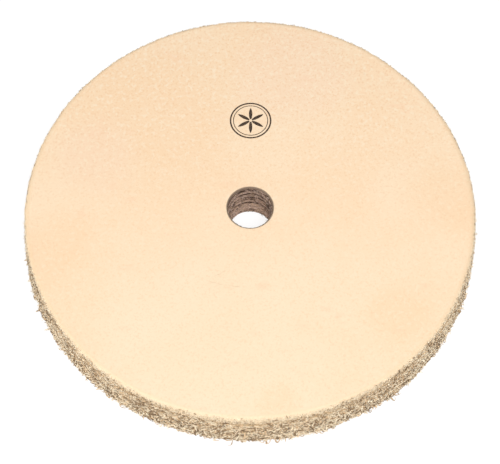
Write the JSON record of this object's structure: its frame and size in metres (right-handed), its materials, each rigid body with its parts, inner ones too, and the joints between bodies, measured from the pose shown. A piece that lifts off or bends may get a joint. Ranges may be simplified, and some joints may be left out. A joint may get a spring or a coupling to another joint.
{
  "type": "leather polishing wheel",
  "caption": "Laminated leather polishing wheel: leather discs glued face to face, trued rim with a raised nap, and a plain arbor bore.",
  "frame": {"origin": "on the bore's axis, in the plane of the back face", "axes": "+Z along the bore's axis, out of the front face; the wheel is round, so X and Y are free"},
  "size_m": [0.2, 0.2, 0.0229],
  "materials": {
    "grain_leather": "smooth natural vegetable-tanned grain, undyed",
    "cut_leather": "cut and trued leather edge, fibrous",
    "glue": "set contact glue, dull amber brown"
  },
  "bodies": {
    "root": {"front_ply": "grain_leather", "front_core_ply": "cut_leather", "back_core_ply": "cut_leather", "back_ply": "grain_leather", "front_glue_film": "glue", "middle_glue_film": "glue", "back_glue_film": "glue"}
  },
  "joints": []
}
